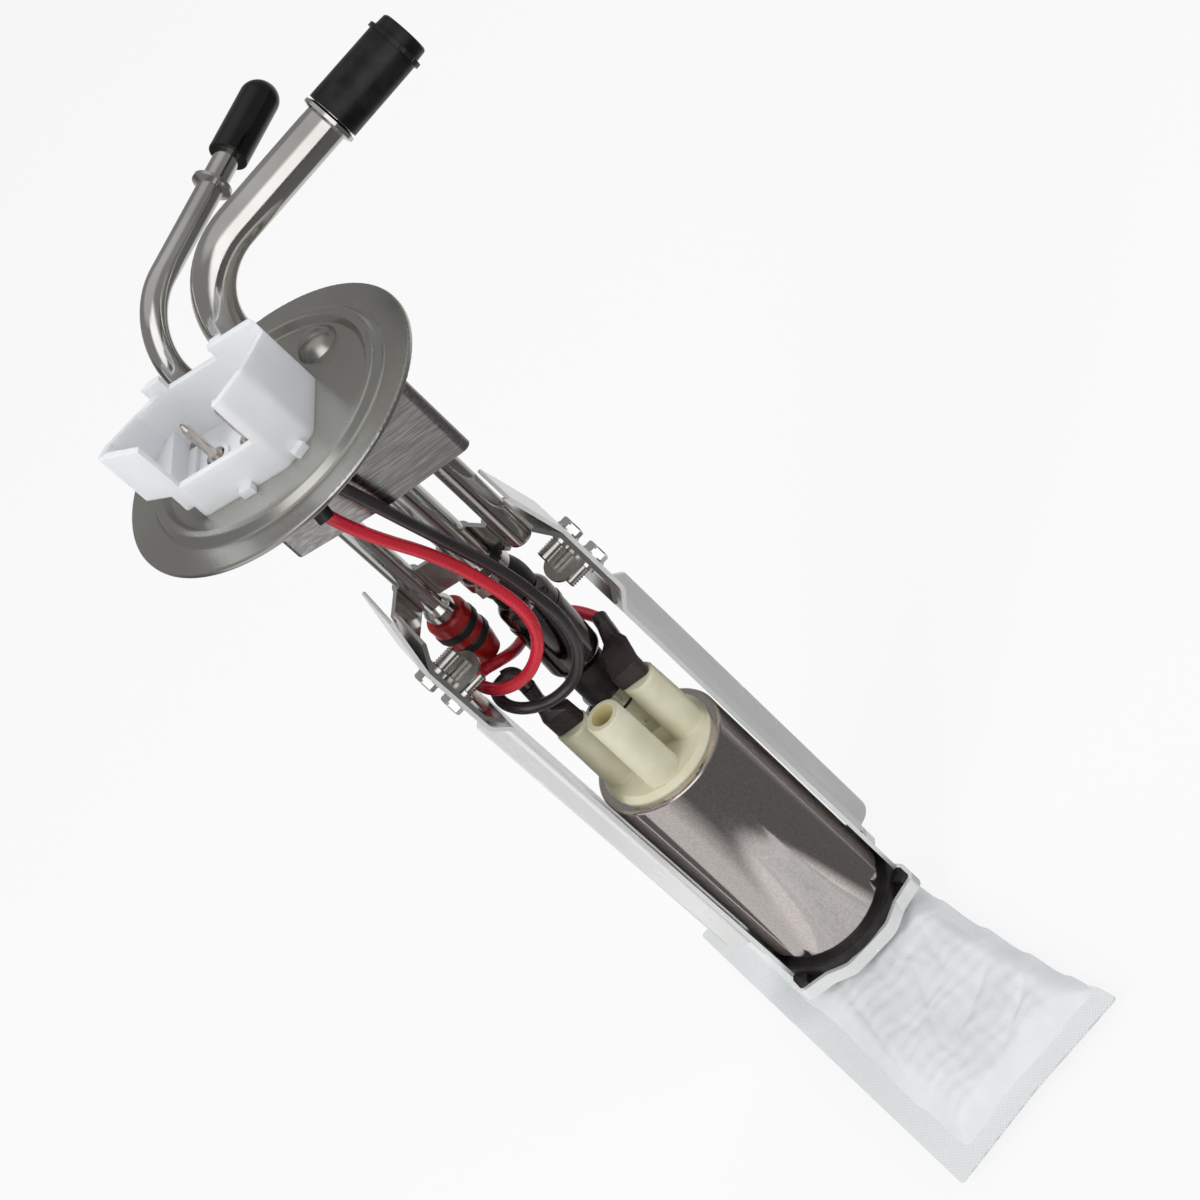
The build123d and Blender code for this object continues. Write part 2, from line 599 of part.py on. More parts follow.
def armature_core():
    """slotted lamination stack"""
    body = ring(13.2, SHAFT_R, 30, 54)
    for i in range(ARMATURE_SLOTS):
        mouth = block(10.8, 14, -0.6, 0.6, 29, 55)
        pocket = rod(2.0, 29, 55, 9.4, 0)
        body -= Rot(0, 0, (i + 0.5) * 360 / ARMATURE_SLOTS) * (mouth + pocket)
    return at_pump(body)


def armature_windings():
    """copper in the slots and the bunched end turns"""
    body = ring(12.2, 4.0, 26.4, 29.99) + ring(12.2, 4.0, 54.01, 57.6)
    rims = [e for e in body.edges().filter_by(GeomType.CIRCLE) if e.radius > 12]
    body = fillet(rims, 1.2)
    for i in range(ARMATURE_SLOTS):
        body += Rot(0, 0, (i + 0.5) * 360 / ARMATURE_SLOTS) * rod(1.7, 29, 55, 9.4, 0)
    return at_pump(body)


def commutator():
    """face commutator: eight copper bars on a moulded disc"""
    disc = ring(11.9, SHAFT_R, 58.0, COMM_TOP)
    for i in range(ARMATURE_SLOTS):
        disc -= Rot(0, 0, i * 360 / ARMATURE_SLOTS) * block(4.0, 13, -0.25, 0.25, COMM_TOP - 1.2, 62)
    disc -= ring(4.6, SHAFT_R + 1.2, COMM_TOP - 0.8, 62)
    return at_pump(disc)


def rotor_shaft():
    """ground shaft with a drive flat in the impeller"""
    body = rod(SHAFT_R, 9.0, 70.2)
    body = chamfer(body.edges().filter_by(GeomType.CIRCLE), 0.4)
    body -= block(-3, 3, 1.5, 3, 10.9, 15.1)
    return at_pump(body)


def upper_bearing():
    return at_pump(ring(3.6, SHAFT_R + 0.03, 65.5, 70.5))


def pump_plate():
    """upper half of the pump: channel above the vanes, outlet port, and the lower bearing's seat"""
    body = rod(CAN_R - CAN_WALL, 15, 22) + rod(6.0, 22, 25.0)
    groove = Pos(0, 0, 15) * Torus(13.0, 1.6)
    body -= groove & (Rot(0, 0, 30) * (block(-20, 20, -20, 20, 14, 17) - block(4, 20, -4, 4, 14, 17)))
    body -= rod(1.5, 14, 23, 12.9 * cos(radians(60)), 12.9 * sin(radians(60)))
    body -= rod(3.4, 17.5, 26)
    body -= rod(SHAFT_R + 0.5, 14, 18)
    return at_pump(body)


def lower_bearing():
    return at_pump(ring(3.4, SHAFT_R + 0.03, 17.5, 23.5))


def chamber_ring():
    return at_pump(ring(CAN_R - CAN_WALL, 15.4, 11, 15))


def impeller():
    """regenerative impeller: a row of vane pockets through the rim, and a D-shaped drive hole"""
    body = rod(IMPELLER_R, 11.35, 14.65)
    body -= rod(SHAFT_R, 11, 15) - block(-3, 3, 1.5, 3, 10, 16)
    for i in range(VANES):
        pocket = block(11.3, 13.8, -0.95, 0.95, 11, 15)
        pocket = fillet(pocket.edges().filter_by(Axis.Z), 0.5)
        body -= Rot(0, 0, i * 360 / VANES) * pocket
    for i in range(4):
        body -= Rot(0, 0, 45 + i * 90) * rod(1.1, 11, 15, 6.5, 0)
    return at_pump(body)


def inlet_cover():
    """lower half of the pump: channel under the vanes, thrust pad and the inlet nipple"""
    body = rod(CAN_R - CAN_WALL, CAN_WALL, 11) + rod(LIP_R, 0.2, 1.2)
    body += rod(5.0, -5.0, 2, 0, NIPPLE_Y)
    body -= Pos(0, 0, 11) * Torus(13.0, 1.6) & (block(-20, 20, -20, 20, 9, 11) - block(4, 20, -4, 4, 9, 12))
    body -= rod(3.4, -6, 7.0, 0, NIPPLE_Y)
    body -= rod(1.6, 4.5, 12, 0, -12.2)
    body -= block(-1.6, 1.6, -12.2, NIPPLE_Y, 4.5, 7.0)
    body -= rod(SHAFT_R + 0.5, 8.6, 12)
    return at_pump(body)


# ---------- check valve in the outlet ----------

BALL_R = 2.2
SEAT = CAN_H + 5.5


def ball_level():
    """centre height of the ball resting on the edge of its seat"""
    return SEAT + sqrt(BALL_R ** 2 - 1.5 ** 2)


def check_ball():
    x, y = cap_point(0, 9.0)
    return Pos(x, y, CAN_BOTTOM + ball_level() + 0.02) * Sphere(BALL_R)


def check_spring():
    x, y = cap_point(0, 9.0)
    low = CAN_BOTTOM + ball_level() + BALL_R + 0.1
    return Pos(x, y, 0) * coil(1.7, 0.25, low, -127.3, 6)


def check_retainer():
    x, y = cap_point(0, 9.0)
    return ring(2.6, 1.1, -127.2, -125.6, x, y)


# ---------- rubber isolator and strainer ----------

def isolator():
    """eared rubber cup under the can, with a round lip above the cradle"""
    low = CRADLE_BOTTOM + 1.0
    shelf = extrude(Pos(PUMP_X, PUMP_Y, low) * cradle_outline(STRAP), CRADLE_TOP - 0.3 - low)
    lip = rod(21.4, low, -222.7, PUMP_X, PUMP_Y)
    lip = fillet(lip.edges().group_by(Axis.Z)[-1], 0.9)
    lip &= block(PUMP_X - ARM_FACE, PUMP_X + ARM_FACE, -30, 30, -240, -200)
    inside = extrude(Pos(PUMP_X, PUMP_Y, low) * cradle_outline(STRAP), 30)
    lower_lip = lip & block(-60, 60, -60, 60, CRADLE_TOP + 0.3, -200)
    inner_lip = lip & inside
    body = shelf + lower_lip + inner_lip
    for sx in (1, -1):
        for sy in (1, -1):
            ridge = Pos(PUMP_X + sx * 18.6, PUMP_Y + sy * 14.2, 0) * Rot(0, 0, sx * sy * -38)
            ridge = ridge * block(-1.0, 1.0, -3.0, 3.0, low, -224.4)
            body += ridge & inside
    body -= rod(CAN_R, CAN_BOTTOM, -200, PUMP_X, PUMP_Y)
    body -= rod(8.0, -240, -220, PUMP_X, PUMP_Y + NIPPLE_Y)
    return body


def strainer_hub():
    """snap-on collar of the strainer, gripping the pump's inlet nipple"""
    x, y = PUMP_X, PUMP_Y + NIPPLE_Y
    outline = [(5.0, -227.2), (7.4, -227.2), (7.4, -231.9), (12.0, -231.9), (12.0, -233.1), (4.0, -233.1),
               (4.0, -231.6), (5.0, -231.6)]
    return turned(outline, 0, x, y)


SOCK_MID = -238.8
SOCK = [(-26.6, 42.9), (-20.5, -91.1), (38.7, -85.3), (37.9, -77.4), (29.8, -23.4), (26.8, 10), (24.0, 42.0)]


def strainer_sock():
    """felt pouch: a full pillow inside a flat heat-sealed border"""
    border = face_of(SOCK, [3.0, 4.0, 2.0, 6.0, 30.0, 40.0, 3.0])
    sheet = extrude(Pos(0, 0, SOCK_MID - 0.5) * border, 1.0)
    waist = offset(border, -6.0)
    upper = loft([Pos(0, 0, SOCK_MID + 0.4) * waist, Pos(0, 0, SOCK_MID + 3.4) * offset(waist, -3.0),
                  Pos(0, 0, SOCK_MID + 5.3) * offset(waist, -8.5)])
    lower = mirror(upper, Plane.XY.offset(SOCK_MID))
    return sheet + upper + lower


# ---------- caps on the open tube ends ----------

def supply_tube_cap():
    """plastic cap with an eared ring and a stepped plug end"""
    frame = supply_run()
    start = SUPPLY_BEAD + 1.2
    ring_at = start + 20.4
    bore = SUPPLY_R + 0.05
    outline = [(bore, start), (6.75, start), (6.65, ring_at), (7.3, ring_at), (7.3, ring_at + 1.1),
               (6.25, ring_at + 1.1), (6.05, ring_at + 4.0), (5.6, ring_at + 4.4), (3.6, ring_at + 4.4),
               (3.6, ring_at + 1.6), (0, ring_at + 1.6), (0, SUPPLY_TUBE_LEN + 0.6),
               (bore, SUPPLY_TUBE_LEN + 0.6)]
    body = revolve(Plane.XZ * face_of(outline), Axis.Z)
    for side in (1, -1):
        ear = Pos(0, side * 6.6, ring_at + 0.55) * Box(4.6, 3.8, 1.1)
        ear = fillet(ear.edges().filter_by(Axis.Z).sort_by(Axis.Y)[-2 if side > 0 else 0:][:2], 1.4)
        body += ear - rod(5.4, ring_at - 1, ring_at + 3)
    turn = Rot(0, 0, 90)
    return frame * turn * body


def return_tube_cap():
    """dipped vinyl cap with a domed end"""
    frame = return_run()
    start, end, outer = 51.4, 73.4, 4.9
    bore = RETURN_R + 0.05
    body = rod(outer, start, end)
    body = fillet(body.edges().filter_by(GeomType.CIRCLE).sort_by(Axis.Z)[-1], 4.4)
    body = fillet(body.edges().filter_by(GeomType.CIRCLE).sort_by(Axis.Z)[0], 0.5)
    body -= rod(bore, start - 1, RETURN_TUBE_LEN + 0.6)
    return frame * body


# ---------- leads and their terminals on the pump ----------

RIGHT_TOWER = cap_point(TOWER, 0)
LEFT_TOWER = cap_point(-TOWER, 0)
HOOD_FOOT = -121.7
RIGHT_MOUTH = [(18.9, 8.0, -114.4), (19.8, 13.2, -113.0)]
LEFT_MOUTH = [(-5.0, 6.6, -107.0), (-5.1, 8.7, -102.2), (-7.6, 9.0, -101.5)]


def hood(sections):
    """moulded cover through rounded sections: (centre, direction, width, thickness)"""
    across = Vector(cos(radians(CAP_ANGLE)), sin(radians(CAP_ANGLE)), 0)
    faces = []
    for centre, direction, width, thickness in sections:
        plane = Plane(origin=centre, x_dir=across, z_dir=direction)
        faces.append(plane * RectangleRounded(width, thickness, 0.42 * min(width, thickness)))
    body = loft(faces[:2])
    for lower, upper in zip(faces[1:], faces[2:]):
        body += loft([lower, upper])
    return body


def right_lead_terminal():
    """wide flat hood that leans back over its blade, with the crimp barrel behind"""
    x, y = RIGHT_TOWER
    sections = [((x - 0.8, y, HOOD_FOOT), (0, 0, 1), 9.0, 3.8),
                ((x - 0.6, y + 0.8, HOOD_FOOT + 3.6), (0, 0.45, 0.9), 9.0, 3.6),
                ((x + 1.2, y + 6.0, HOOD_FOOT + 6.6), (0.1, 0.85, 0.5), 8.4, 3.4),
                ((x + 2.4, y + 7.6, HOOD_FOOT + 7.2), (0.14, 0.95, 0.3), 5.2, 3.8),
                ((x + 3.6, y + 12.6, HOOD_FOOT + 8.0), (0.16, 0.95, 0.2), 4.2, 4.2)]
    body = hood(sections) + piped(RIGHT_MOUTH, 2.1, 0)
    body -= piped([RIGHT_MOUTH[0], RIGHT_MOUTH[1]], LEAD_R + 0.25, 0)
    blade = Pos(x, y, 0) * Rot(0, 0, CAP_ANGLE) * block(-2.0, 2.0, -0.4, 0.4, -130, -119)
    return body - blade


def left_lead_terminal():
    """wide low hood with a narrow neck, its barrel turned over to the side"""
    x, y = LEFT_TOWER
    sections = [((x, y, HOOD_FOOT), (0, 0, 1), 8.8, 4.4),
                ((x - 0.1, y + 0.4, HOOD_FOOT + 5.6), (0, 0.1, 1), 8.6, 4.2),
                ((x - 1.4, y + 1.4, HOOD_FOOT + 7.4), (0, 0.2, 1), 4.4, 3.9),
                ((x - 1.0, y + 2.6, HOOD_FOOT + 10.2), (0, 0.25, 1), 3.4, 3.8),
                ((LEFT_MOUTH[0]), (0, 0.25, 1), 4.2, 4.2)]
    body = hood(sections) + piped(LEFT_MOUTH, 2.1, 2.0)
    body -= piped(LEFT_MOUTH, LEAD_R + 0.25, 2.0)
    blade = Pos(x, y, 0) * Rot(0, 0, CAP_ANGLE) * block(-2.0, 2.0, -0.4, 0.4, -130, -119)
    return body - blade


def bend_radii(points):
    """largest even bends that fit between the straight runs of a route"""
    spots = [Vector(*p) for p in points]
    radii = []
    for before, corner, after in zip(spots, spots[1:], spots[2:]):
        first = corner - before
        second = after - corner
        half_turn = radians(first.get_angle(second)) / 2
        radii.append(0.45 * min(first.length, second.length) / tan(half_turn))
    return radii


def red_route():
    x0, y0 = plug_point(-8.9, -6.53)
    x1, y1 = plug_point(-1.27, -9.76)
    return [(x0, y0, RED_LEVEL), (x1, y1, RED_LEVEL), (-6.2, -16.2, -14.5), (-2.2, -17.2, -28.5),
            (4.6, -14.6, -46.5), (8.3, -12.2, -66.5), (9.0, -10.2, -80.0), (5.6, -8.4, -89.6),
            (-1.8, -6.2, -95.6), (-8.8, -2.8, -95.8), (-12.0, 1.4, -94.2), (-12.6, 6.6, -94.0),
            (-10.2, 10.6, -96.0), (-4.2, 12.1, -99.4), (-0.4, 16.2, -103.4), (3.8, 21.4, -106.0),
            (10.4, 23.6, -108.4), (17.2, 21.2, -111.2), (19.7, 12.6, -113.16)]


def black_route():
    x0, y0 = plug_point(-0.05, -7.62)
    x1, y1 = plug_point(4.76, -12.62)
    return [(x0, y0, BLACK_LEVEL), (x1, y1, BLACK_LEVEL), (1.6, -17.4, -14.0), (5.2, -17.8, -29.5),
            (8.8, -13.1, -48.7), (12.4, -11.0, -66.5), (13.4, -10.0, -80.3), (13.6, -8.0, -90.4),
            (11.2, -6.0, -101.0), (4.8, -3.8, -108.4), (-2.8, -2.6, -109.0),
            (-8.6, -1.8, -105.6), (-11.6, 1.6, -103.4), (-12.0, 5.6, -101.8), (-10.4, 8.8, -101.2),
            (-6.6, 8.9, -101.8)]


def red_lead():
    route = red_route()
    return piped(route, LEAD_R, bend_radii(route))


def black_lead():
    route = black_route()
    return piped(route, LEAD_R, bend_radii(route))


MAKERS = [flange, supply_tube, return_tube, support_rod, support_channel, connector_shell, connector_pins,
          pin_grommets, lead_sleeves, red_lead, black_lead, right_lead_terminal, left_lead_terminal,
          supply_hose, pulsation_damper, outlet_hose, hose_clamps, return_nozzle, nozzle_seals, rod_bracket,
          pump_bracket, bracket_screws, pump_can, pump_cap, pump_terminals, brushes, brush_springs,
          field_magnets, flux_ring, armature_core, armature_windings, commutator, rotor_shaft,
          upper_bearing, lower_bearing, pump_plate, chamber_ring, impeller, inlet_cover, check_ball,
          check_spring, check_retainer, isolator, strainer_hub, strainer_sock, supply_tube_cap,
          return_tube_cap]

if __name__ == "__main__":
    for make in MAKERS:
        save(make(), make.__name__)
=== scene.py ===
import bmesh
import bpy
from math import radians, sin, cos, pi
from mathutils import Matrix, Vector, noise


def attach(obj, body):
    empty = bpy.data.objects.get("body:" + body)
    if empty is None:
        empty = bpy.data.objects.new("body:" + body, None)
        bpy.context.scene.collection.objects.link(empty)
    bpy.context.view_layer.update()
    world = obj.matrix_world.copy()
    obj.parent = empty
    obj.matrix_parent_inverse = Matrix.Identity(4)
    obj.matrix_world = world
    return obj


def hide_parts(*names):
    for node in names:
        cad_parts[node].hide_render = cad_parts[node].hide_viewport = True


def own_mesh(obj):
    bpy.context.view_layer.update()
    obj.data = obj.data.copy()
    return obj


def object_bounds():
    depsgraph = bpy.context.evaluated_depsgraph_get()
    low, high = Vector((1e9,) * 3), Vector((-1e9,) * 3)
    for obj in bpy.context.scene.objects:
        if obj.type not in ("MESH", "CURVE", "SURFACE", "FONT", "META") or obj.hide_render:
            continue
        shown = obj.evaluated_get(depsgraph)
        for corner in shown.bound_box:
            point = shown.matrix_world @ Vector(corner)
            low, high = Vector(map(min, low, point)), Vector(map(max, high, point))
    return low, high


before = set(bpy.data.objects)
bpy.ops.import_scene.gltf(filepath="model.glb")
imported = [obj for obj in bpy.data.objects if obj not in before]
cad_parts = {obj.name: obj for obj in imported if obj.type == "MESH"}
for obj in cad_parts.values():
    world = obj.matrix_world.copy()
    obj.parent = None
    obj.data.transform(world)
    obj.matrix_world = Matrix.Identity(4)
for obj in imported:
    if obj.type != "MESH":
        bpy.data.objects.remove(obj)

cad_low, cad_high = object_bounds()
PER_M = 1000
MIX_FIRST, MIX_SECOND, MIX_RESULT = 6, 7, 2

# Flange: a stamped steel disc with a raised ring, zinc plated to a satin finish.
# Every part below takes its finish from a small node tree, so the helpers that lay
# down a shader, a mottled colour, an uneven polish and a fine relief start here.


def new_finish(name, metallic=0.0, roughness=0.5, specular=0.5):
    finish = bpy.data.materials.new(name)
    finish.use_nodes = True
    shader = finish.node_tree.nodes["Principled BSDF"]
    shader.inputs["Metallic"].default_value = metallic
    shader.inputs["Roughness"].default_value = roughness
    shader.inputs["Specular IOR Level"].default_value = specular
    return finish


def pattern(finish, scale, stretch=(1, 1, 1), detail=4.0, turn=(0, 0, 0)):
    """grain on the object's own coordinates, as a value socket"""
    tree = finish.node_tree
    place = tree.nodes.new("ShaderNodeTexCoord")
    mapping = tree.nodes.new("ShaderNodeMapping")
    mapping.vector_type = "TEXTURE"
    mapping.inputs["Scale"].default_value = [1 / share for share in stretch]
    mapping.inputs["Rotation"].default_value = turn
    grain = tree.nodes.new("ShaderNodeTexNoise")
    grain.inputs["Scale"].default_value = scale
    grain.inputs["Detail"].default_value = detail
    tree.links.new(place.outputs["Object"], mapping.inputs["Vector"])
    tree.links.new(mapping.outputs["Vector"], grain.inputs["Vector"])
    return grain.outputs["Fac"]


def mottle(finish, value, dark, light, low=0.35, high=0.65):
    """colour that drifts between two tones"""
    tree = finish.node_tree
    ramp = tree.nodes.new("ShaderNodeValToRGB")
    ramp.color_ramp.elements[0].position = low
    ramp.color_ramp.elements[1].position = high
    ramp.color_ramp.elements[0].color = (*dark, 1)
    ramp.color_ramp.elements[1].color = (*light, 1)
    tree.links.new(value, ramp.inputs["Fac"])
    tree.links.new(ramp.outputs["Color"], tree.nodes["Principled BSDF"].inputs["Base Color"])


def polish(finish, value, smooth, rough):
    """roughness that varies between two levels"""
    tree = finish.node_tree
    span = tree.nodes.new("ShaderNodeMapRange")
    span.inputs["From Min"].default_value = 0.3
    span.inputs["From Max"].default_value = 0.7
    span.inputs["To Min"].default_value = smooth
    span.inputs["To Max"].default_value = rough
    tree.links.new(value, span.inputs["Value"])
    tree.links.new(span.outputs["Result"], tree.nodes["Principled BSDF"].inputs["Roughness"])


def relief(finish, value, height, strength=0.5):
    """fine bumps, their height in metres"""
    tree = finish.node_tree
    bump = tree.nodes.new("ShaderNodeBump")
    bump.inputs["Distance"].default_value = height
    bump.inputs["Strength"].default_value = strength
    tree.links.new(value, bump.inputs["Height"])
    tree.links.new(bump.outputs["Normal"], tree.nodes["Principled BSDF"].inputs["Normal"])


def dress(finish, *nodes):
    for node in nodes:
        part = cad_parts[node]
        part.data.materials.clear()
        part.data.materials.append(finish)


zinc = new_finish("satin_zinc", metallic=1.0)
mottle(zinc, pattern(zinc, 22, detail=2), (0.50, 0.485, 0.45), (0.58, 0.575, 0.535))
polish(zinc, pattern(zinc, 120, detail=1), 0.26, 0.31)
relief(zinc, pattern(zinc, 2600, detail=1), 0.000005, 0.1)
dress(zinc, "flange")

# Tubes: drawn steel, bent, beaded near the open end and brazed through the flange.
# The plating is bright with fine lengthwise draw marks and a few dull patches.
tube_steel = new_finish("drawn_tube", metallic=1.0)
mottle(tube_steel, pattern(tube_steel, 50, detail=3), (0.60, 0.585, 0.56), (0.74, 0.73, 0.70))
polish(tube_steel, pattern(tube_steel, 300, detail=2), 0.08, 0.16)
relief(tube_steel, pattern(tube_steel, 1500, detail=2), 0.00001, 0.15)
dress(tube_steel, "supply_tube", "return_tube")

# Support rod: solid bright steel, its lower end rounded over. It hangs under the flange's
# dome beside the tubes. The rotor's shaft and the check ball have the same finish.
rod_steel = new_finish("bright_rod", metallic=1.0)
mottle(rod_steel, pattern(rod_steel, 80, (1, 1, 0.15), 3), (0.40, 0.39, 0.37), (0.54, 0.53, 0.50))
polish(rod_steel, pattern(rod_steel, 400, (1, 1, 0.1), 2), 0.1, 0.2)
dress(rod_steel, "support_rod", "rotor_shaft", "check_ball")

# Support channel: a bent web of darker sheet steel under the flange.
# Fine score marks run along it.
channel_steel = new_finish("scored_channel", metallic=1.0)
channel_turn = (0, 0, radians(-20))
mottle(channel_steel, pattern(channel_steel, 2400, (0.06, 1, 1), 4, channel_turn), (0.36, 0.345, 0.34),
       (0.66, 0.63, 0.62), 0.42, 0.74)
polish(channel_steel, pattern(channel_steel, 1200, (0.03, 1, 1), 2, channel_turn), 0.2, 0.4)
relief(channel_steel, pattern(channel_steel, 2400, (0.06, 1, 1), 2, channel_turn), 0.00001, 0.3)
dress(channel_steel, "support_channel")

# Connector shell: natural nylon, milky and a little translucent.
# One moulding with a soft satin skin, standing on the flange round the two pins.
nylon = new_finish("milky_nylon")
mottle(nylon, pattern(nylon, 60, detail=1), (0.80, 0.81, 0.825), (0.84, 0.85, 0.86))
polish(nylon, pattern(nylon, 60, detail=1), 0.30, 0.40)
skin = nylon.node_tree.nodes["Principled BSDF"]
skin.inputs["Subsurface Weight"].default_value = 0.7
skin.inputs["Subsurface Radius"].default_value = (1.0, 1.0, 1.0)
skin.inputs["Subsurface Scale"].default_value = 0.0015
dress(nylon, "connector_shell")

# Connector pins: turned, with a dull nickel plate.
# Each has a collar and passes through the flange in a rubber grommet.
nickel_pin = new_finish("nickel_pin", metallic=1.0)
mottle(nickel_pin, pattern(nickel_pin, 200, detail=2), (0.60, 0.54, 0.49), (0.72, 0.67, 0.62))
polish(nickel_pin, pattern(nickel_pin, 600, detail=1), 0.2, 0.28)
dress(nickel_pin, "connector_pins")

# Rubber and soft black pieces: grommets, elbow sleeves, hoses, seals and the isolator.
# All are plain black rubber with a dull, slightly pitted skin.
rubber = new_finish("black_rubber")
mottle(rubber, pattern(rubber, 250, detail=4), (0.006, 0.005, 0.005), (0.018, 0.015, 0.015))
polish(rubber, pattern(rubber, 600, detail=3), 0.38, 0.6)
relief(rubber, pattern(rubber, 1500, detail=3), 0.00005, 0.5)
dress(rubber, "pin_grommets", "lead_sleeves", "supply_hose", "outlet_hose", "isolator", "nozzle_seals")

# Leads: two stranded wires with thick plastic insulation, crimped at both ends.
# Each runs from its elbow sleeve through the notch, down in front, and back to its terminal.
lead_diameter = 0.0032


def lead(name, node, points, finish):
    """insulated wire along one smooth line; points in millimetres"""
    curve = bpy.data.curves.new(name, "CURVE")
    curve.dimensions = "3D"
    curve.bevel_depth = lead_diameter / 2
    curve.bevel_resolution = 5
    curve.resolution_u = 10
    curve.use_fill_caps = True
    spline = curve.splines.new("NURBS")
    spline.points.add(len(points) - 1)
    for point, (x, y, z) in zip(spline.points, points):
        point.co = (x / PER_M, y / PER_M, z / PER_M, 1)
    spline.order_u = 3
    spline.use_endpoint_u = True
    wire = bpy.data.objects.new(name, curve)
    bpy.context.collection.objects.link(wire)
    curve.materials.append(finish)
    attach(wire, "module")
    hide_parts(node)


red_skin = new_finish("red_insulation", specular=0.8)
mottle(red_skin, pattern(red_skin, 60, detail=1), (0.46, 0.003, 0.016), (0.60, 0.005, 0.028))
polish(red_skin, pattern(red_skin, 300, detail=1), 0.24, 0.32)
relief(red_skin, pattern(red_skin, 120, detail=0), 0.00001, 0.1)
black_skin = new_finish("black_insulation", specular=0.8)
mottle(black_skin, pattern(black_skin, 60, detail=1), (0.016, 0.010, 0.012), (0.028, 0.020, 0.022))
polish(black_skin, pattern(black_skin, 300, detail=1), 0.24, 0.34)
relief(black_skin, pattern(black_skin, 120, detail=0), 0.00001, 0.1)
lead("red_lead_wire", "red_lead", [
    (-10.9, -1.6, -9.3), (-5.7, -8.0, -9.3), (-6.2, -16.2, -14.5), (-2.2, -17.2, -28.5),
    (4.6, -14.6, -46.5), (8.3, -12.2, -66.5), (9.0, -10.2, -80.0), (5.6, -8.4, -89.6),
    (-1.8, -6.2, -95.6), (-8.8, -2.8, -95.8), (-12.0, 1.4, -94.2), (-12.6, 6.6, -94.0),
    (-10.2, 10.6, -96.0), (-4.2, 12.1, -99.4), (-0.4, 16.2, -103.4), (3.8, 21.4, -106.0),
    (10.4, 23.6, -108.4), (17.2, 21.2, -111.2), (19.7, 12.6, -113.2)], red_skin)
lead("black_lead_wire", "black_lead", [
    (-3.6, -6.7, -5.0), (-1.7, -13.4, -5.0), (1.6, -17.4, -14.0), (5.2, -17.8, -29.5),
    (8.8, -13.1, -48.7), (12.4, -11.0, -66.5), (13.4, -10.0, -80.3), (13.6, -8.0, -90.4),
    (11.2, -6.0, -101.0), (4.8, -3.8, -108.4), (-2.8, -2.6, -109.0), (-8.6, -1.8, -105.6),
    (-11.6, 1.6, -103.4), (-12.0, 5.6, -101.8), (-10.4, 8.8, -101.2), (-6.6, 8.9, -101.8)], black_skin)

# Lead boot: a short black rubber sleeve, pushed over the red lead where it comes out
# below the flange.
boot_start = Vector((-0.00537, -0.01389, -0.01287))
boot_end = Vector((-0.00607, -0.01623, -0.01739))
boot_axis = boot_end - boot_start
tube = bmesh.new()
bmesh.ops.create_cone(tube, cap_ends=True, segments=40, radius1=0.0022, radius2=0.00215,
                      depth=boot_axis.length)
sharp = [edge for edge in tube.edges if edge.calc_face_angle() > radians(45)]
bmesh.ops.bevel(tube, geom=sharp, affect="EDGES", offset=0.0003, segments=3, profile=0.5, material=-1)
for face in tube.faces:
    face.smooth = len(face.verts) == 4
turn_to_axis = boot_axis.to_track_quat("Z", "Y").to_matrix().to_4x4()
bmesh.ops.transform(tube, matrix=Matrix.Translation((boot_start + boot_end) / 2) @ turn_to_axis, verts=tube.verts)
boot_mesh = bpy.data.meshes.new("lead_boot")
tube.to_mesh(boot_mesh)
tube.free()
boot_mesh.materials.append(rubber)
boot = bpy.data.objects.new("lead_boot", boot_mesh)
bpy.context.collection.objects.link(boot)
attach(boot, "module")

# Lead terminals: dark moulded hoods with a soft gloss.
# They are pushed over the blades in the pump's towers.
hood = new_finish("brown_hood")
mottle(hood, pattern(hood, 150, detail=2), (0.022, 0.015, 0.014), (0.036, 0.026, 0.025))
polish(hood, pattern(hood, 400, detail=2), 0.2, 0.34)
relief(hood, pattern(hood, 200, detail=1), 0.00001, 0.15)
dress(hood, "right_lead_terminal", "left_lead_terminal")

# Pulsation damper: a sealed body between the two hoses.
# Its glossy dark skin is slightly uneven.
enamel = new_finish("black_enamel", metallic=1.0)
mottle(enamel, pattern(enamel, 150, detail=2), (0.13, 0.115, 0.115), (0.20, 0.18, 0.18))
polish(enamel, pattern(enamel, 300, detail=1), 0.08, 0.16)
relief(enamel, pattern(enamel, 110, (1, 1, 0.5), detail=1), 0.0010, 0.5)
dress(enamel, "pulsation_damper")

# Return nozzle: a dark red plastic moulding with two black seals round it.
# The seals take their rubber above.
red_mould = new_finish("dark_red_mould")
mottle(red_mould, pattern(red_mould, 200, detail=3), (0.26, 0.006, 0.008), (0.40, 0.012, 0.012))
polish(red_mould, pattern(red_mould, 600, detail=2), 0.18, 0.32)
dress(red_mould, "return_nozzle")

# Brackets: plated sheet steel. The pump bracket's two arms are one sheet with its cradle,
# screwed to the saddle bracket. The saddle, screws, clamps and flux ring are brighter.
sheet_steel = new_finish("plated_sheet", metallic=0.4)
mottle(sheet_steel, pattern(sheet_steel, 40, (1, 1, 0.3), 3), (0.86, 0.86, 0.84), (0.94, 0.94, 0.93))
polish(sheet_steel, pattern(sheet_steel, 300, (1, 1, 0.2), 2), 0.16, 0.28)
relief(sheet_steel, pattern(sheet_steel, 1500, (1, 1, 0.1), 2), 0.00001, 0.15)
dress(sheet_steel, "pump_bracket")
bright_steel = new_finish("bright_steel", metallic=1.0)
mottle(bright_steel, pattern(bright_steel, 60, detail=2), (0.70, 0.69, 0.67), (0.82, 0.81, 0.79))
polish(bright_steel, pattern(bright_steel, 300, detail=1), 0.14, 0.22)
dress(bright_steel, "rod_bracket", "bracket_screws", "hose_clamps", "flux_ring")

